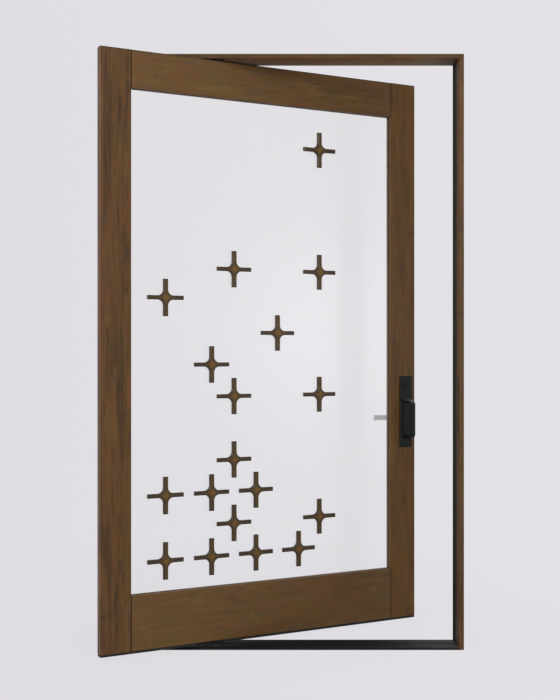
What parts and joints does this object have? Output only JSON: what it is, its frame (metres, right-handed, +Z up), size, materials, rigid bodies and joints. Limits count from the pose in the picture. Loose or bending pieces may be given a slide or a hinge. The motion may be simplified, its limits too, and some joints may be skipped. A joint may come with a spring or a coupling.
{
  "type": "pivot entry door",
  "caption": "Glazed timber pivot entry door in its frame, with small metal crosses on the glass, a C-shaped outside pull and an inside lever.",
  "frame": {"origin": "middle of the sill's underside, half way along the frame's width and depth", "axes": "+Z up, +X along the frame towards the latch side, +Y into the building"},
  "size_m": [1.511, 0.7171, 2.46],
  "materials": {
    "stained_wood": "stained, satin",
    "sill_metal": "black satin",
    "seal": "matt",
    "pane": "clear",
    "bronze": "dark bronze, satin",
    "steel": "brushed",
    "black_metal": "matt black"
  },
  "bodies": {
    "frame": {"head_jamb": "stained_wood", "latch_jamb": "stained_wood", "pivot_jamb": "stained_wood", "sill": "sill_metal", "latch_seal": "seal", "pivot_seal": "seal", "strike_plate": "bronze", "top_pivot_plate": "steel", "top_pivot_pin": "steel", "floor_pivot_plate": "steel", "floor_pivot_spindle": "steel"},
    "leaf": {"pivot_stile": "stained_wood", "lock_stile": "stained_wood", "top_rail": "stained_wood", "bottom_rail": "stained_wood", "top_sweep": "seal", "bottom_sweep": "seal", "glass_pane": "pane", "bead_pivot_side": "stained_wood", "bead_lock_side": "stained_wood", "bead_bottom": "stained_wood", "bead_top": "stained_wood", "front_crosses": "bronze", "top_pivot_socket": "steel", "bottom_pivot_shoe": "steel", "outside_plate": "black_metal", "inside_plate": "steel", "pull_handle": "black_metal", "lock_cylinder": "black_metal", "turn_knob": "steel", "edge_faceplate": "steel", "latch_bolt": "steel", "deadbolt": "steel"},
    "lever": {"inside_lever": "steel"}
  },
  "joints": [
    {"name": "leaf_swing", "type": "hinge", "parent": "frame", "child": "leaf", "pos_m": [-0.2975, -0.0405, 0], "axis": [0, 0, 1], "range_deg": [-25.26, 64.74]},
    {"name": "lever_turn", "type": "hinge", "parent": "leaf", "child": "lever", "pos_m": [0.58698, 0.37684, 0.929], "axis": [0.4267, -0.9044, 0], "range_deg": [0, 45], "stiffness_Nm_per_rad": 1.2, "springref_deg": -34.38}
  ]
}
